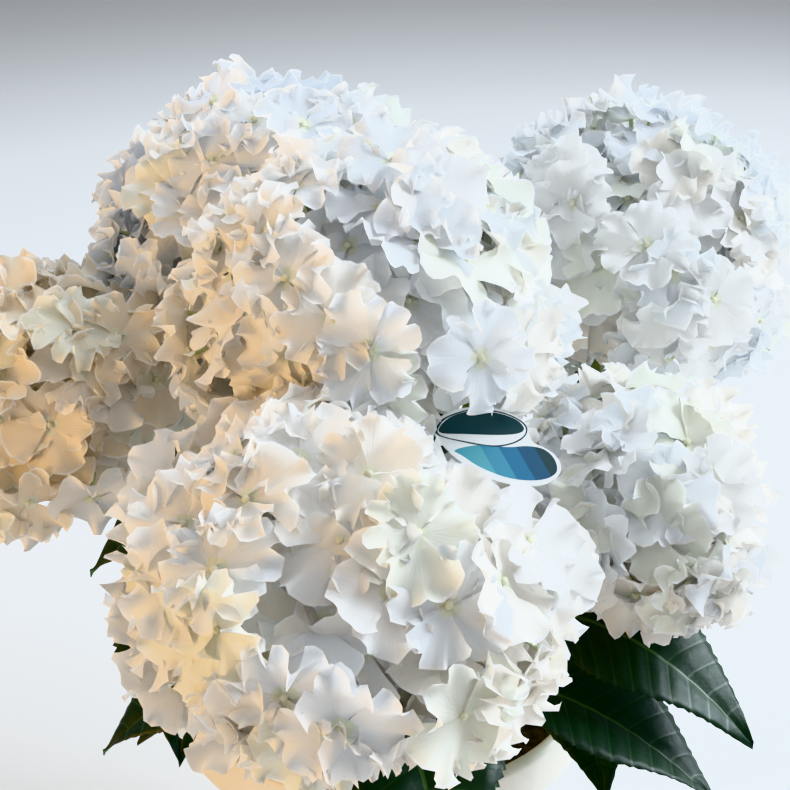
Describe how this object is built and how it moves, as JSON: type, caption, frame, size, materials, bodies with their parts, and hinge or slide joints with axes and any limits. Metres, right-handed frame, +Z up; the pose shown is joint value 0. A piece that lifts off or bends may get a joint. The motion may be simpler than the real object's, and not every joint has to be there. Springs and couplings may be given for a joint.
{
  "type": "potted mophead hydrangea shrub",
  "caption": "Potted mophead hydrangea: large round heads of ruffled white florets and dark toothed leaves on stems from one woody crown, in a round cream glazed pot with a blank plant label.",
  "frame": {"origin": "the centre of the pot's flat underside", "axes": "+Z is up, and -Y faces the viewer of the picture, with the large front flower head and the label on that side; +X is to that viewer's right"},
  "size_m": [0.468, 0.511, 0.4703],
  "materials": {
    "glaze": "satin",
    "compost": "matte",
    "bark": "matte",
    "green_stem": "satin",
    "foliage": "satin",
    "petal": "matte",
    "label_card": "satin"
  },
  "bodies": {
    "root": {"pot": "glaze", "soil": "compost", "woody_crown": "bark", "label": "label_card", "stem_front": "green_stem", "stem_right_front": "green_stem", "stem_left": "green_stem", "stem_top_front": "green_stem", "stem_top_right": "green_stem", "stem_top_back": "green_stem", "stem_right": "green_stem", "stem_back": "green_stem", "stem_back_left": "green_stem", "foliage_front": "foliage", "foliage_right_front": "foliage", "foliage_left": "foliage", "foliage_top_front": "foliage", "foliage_top_right": "foliage", "foliage_top_back": "foliage", "foliage_right": "foliage", "foliage_back": "foliage", "foliage_back_left": "foliage", "shoot_front_right": "foliage", "shoot_front_left": "foliage", "shoot_middle": "foliage", "shoot_back_left": "foliage", "shoot_back_right": "foliage", "mophead_front": "petal", "mophead_right_front": "petal", "mophead_left": "petal", "mophead_top_front": "petal", "mophead_top_right": "petal", "mophead_top_back": "petal", "mophead_right": "petal", "mophead_back": "petal", "mophead_back_left": "petal"}
  },
  "joints": []
}
